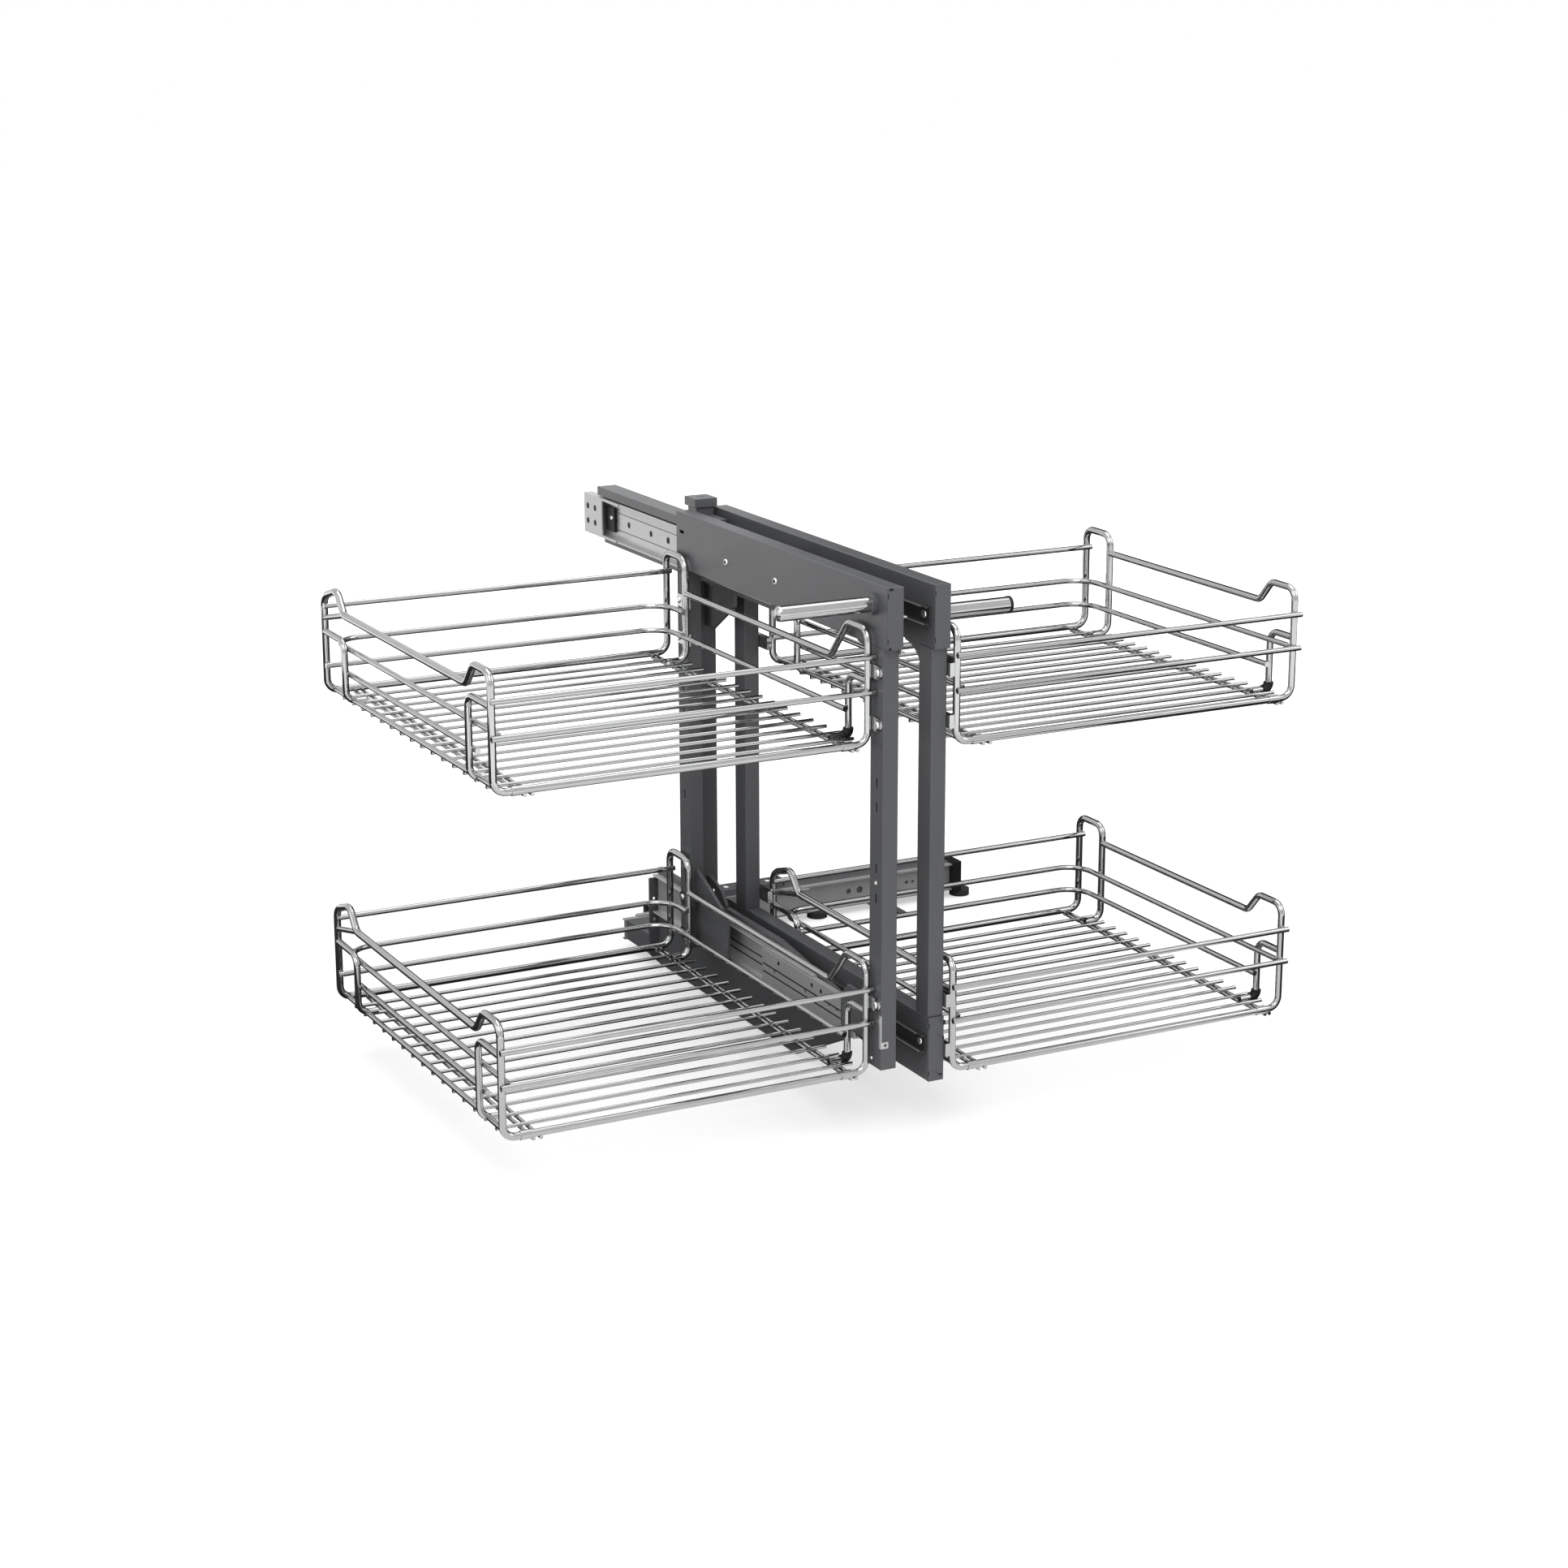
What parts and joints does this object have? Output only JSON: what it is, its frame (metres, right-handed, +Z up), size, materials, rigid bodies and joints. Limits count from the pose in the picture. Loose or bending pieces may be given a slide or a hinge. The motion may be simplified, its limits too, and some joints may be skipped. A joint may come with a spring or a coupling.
{
  "type": "blind corner pull-out",
  "caption": "Blind corner cabinet pull-out: chromed wire baskets on telescopic frames set back to back, on a carriage that shifts along a floor rail.",
  "frame": {"origin": "middle of the floor screw pattern, on the cabinet floor", "axes": "+Z up, +X along the floor rail towards the blind side, -Y towards the user"},
  "size_m": [0.9333, 0.8082, 0.595],
  "materials": {
    "graphite_paint": "satin graphite",
    "zinc": "zinc plated",
    "chrome": "polished",
    "black_plastic": "matt black",
    "black_steel": "black",
    "foot_rubber": "matt black",
    "screw_steel": "bright zinc"
  },
  "bodies": {
    "base": {"cross_rail": "graphite_paint", "rail_end_block": "black_plastic", "rail_left_box": "graphite_paint", "rail_feet": "foot_rubber", "floor_brackets": "black_steel", "cross_slide_outer": "zinc", "base_screws": "screw_steel"},
    "cross_middle": {"cross_slide_middle": "zinc"},
    "carriage": {"cross_slide_inner": "zinc", "carriage_block": "graphite_paint", "rear_plate": "graphite_paint", "carriage_panel": "graphite_paint", "column": "graphite_paint", "column_cap": "graphite_paint", "column_gussets": "graphite_paint", "top_bar": "graphite_paint", "left_top_slide_outer": "zinc", "left_bottom_slide_outer": "zinc", "right_top_slide_outer": "black_steel", "right_bottom_slide_outer": "black_steel", "carriage_screws": "screw_steel"},
    "left_middle": {"left_top_slide_middle": "zinc", "left_bottom_slide_middle": "zinc"},
    "left_frame": {"left_top_beam": "graphite_paint", "left_beam_cap": "graphite_paint", "left_front_post": "graphite_paint", "left_rear_post": "graphite_paint", "left_arc_gusset": "graphite_paint", "left_lower_bracket": "zinc", "left_slide_brackets": "graphite_paint", "left_top_slide_inner": "zinc", "left_bottom_slide_inner": "zinc", "left_handle": "chrome", "left_handle_collar": "graphite_paint", "upper_left_basket": "chrome", "upper_left_floor": "chrome", "lower_left_basket": "chrome", "lower_left_floor": "chrome", "left_basket_tabs": "chrome", "left_basket_tips": "black_plastic", "left_screws": "screw_steel"},
    "right_middle": {"right_top_slide_middle": "black_steel", "right_bottom_slide_middle": "black_steel"},
    "right_frame": {"right_top_beam": "graphite_paint", "right_beam_caps": "graphite_paint", "right_bottom_beam": "graphite_paint", "right_front_post": "graphite_paint", "right_rear_post": "graphite_paint", "right_arc_gusset": "graphite_paint", "right_top_slide_inner": "black_steel", "right_bottom_slide_inner": "black_steel", "right_handle": "chrome", "right_handle_cap": "black_plastic", "upper_right_basket": "chrome", "upper_right_floor": "chrome", "lower_right_basket": "chrome", "lower_right_floor": "chrome", "right_basket_tabs": "chrome", "right_basket_tips": "black_plastic", "right_screws": "screw_steel"}
  },
  "joints": [
    {"name": "carriage_shift", "type": "slide", "parent": "base", "child": "carriage", "axis": [1, 0, 0], "range_m": [0, 0.34]},
    {"name": "cross_middle_shift", "type": "slide", "parent": "base", "child": "cross_middle", "axis": [1, 0, 0], "range_m": [0, 0.17]},
    {"name": "left_pull", "type": "slide", "parent": "carriage", "child": "left_frame", "axis": [0, -1, 0], "range_m": [-0.3, 0.14]},
    {"name": "left_middle_pull", "type": "slide", "parent": "carriage", "child": "left_middle", "axis": [0, -1, 0], "range_m": [-0.15, 0.07]},
    {"name": "right_pull", "type": "slide", "parent": "carriage", "child": "right_frame", "axis": [0, -1, 0], "range_m": [-0.3, 0.1]},
    {"name": "right_middle_pull", "type": "slide", "parent": "carriage", "child": "right_middle", "axis": [0, -1, 0], "range_m": [-0.15, 0.05]}
  ],
  "couplings": [
    {"joint": "cross_middle_shift", "follows": "carriage_shift", "ratio": 0.5},
    {"joint": "left_middle_pull", "follows": "left_pull", "ratio": 0.5},
    {"joint": "right_middle_pull", "follows": "right_pull", "ratio": 0.5}
  ]
}
